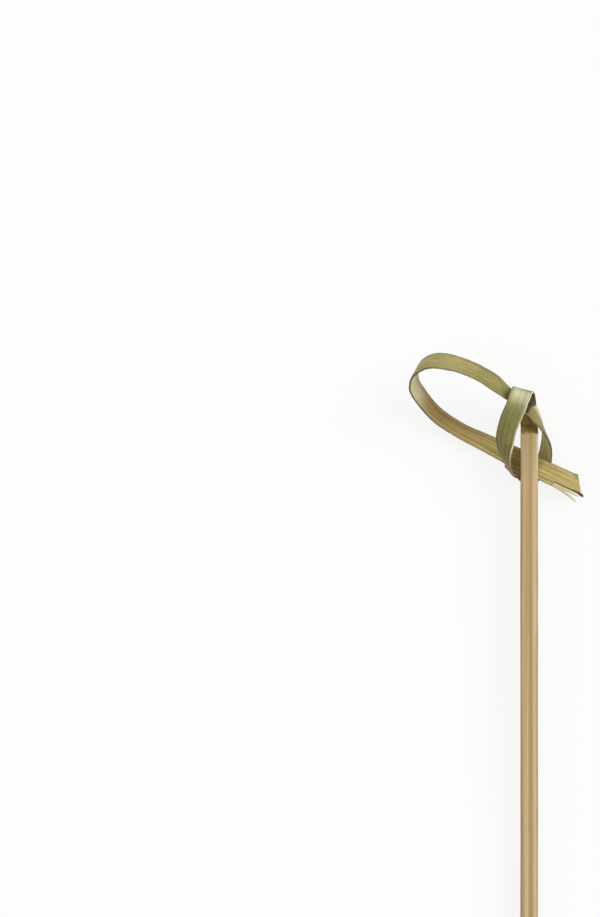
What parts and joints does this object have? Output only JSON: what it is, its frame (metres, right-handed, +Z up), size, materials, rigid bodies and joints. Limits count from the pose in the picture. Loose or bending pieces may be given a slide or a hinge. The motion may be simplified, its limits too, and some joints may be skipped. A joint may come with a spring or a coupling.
{
  "type": "bamboo knot pick",
  "caption": "Long split-bamboo food pick with a sharpened end and, at the other, a ribbon of its own skin tied in a looped knot.",
  "frame": {"origin": "middle of the part's box on the table it lies on", "axes": "+Y along the stick towards the knot, +Z up; the part lies on its skin side"},
  "size_m": [0.025, 0.1496, 0.0114],
  "materials": {
    "bamboo": "dry split bamboo: tan flesh with long fibres, olive-green satin skin on the ribbon"
  },
  "bodies": {
    "root": {"knot_pick": "bamboo"}
  },
  "joints": []
}
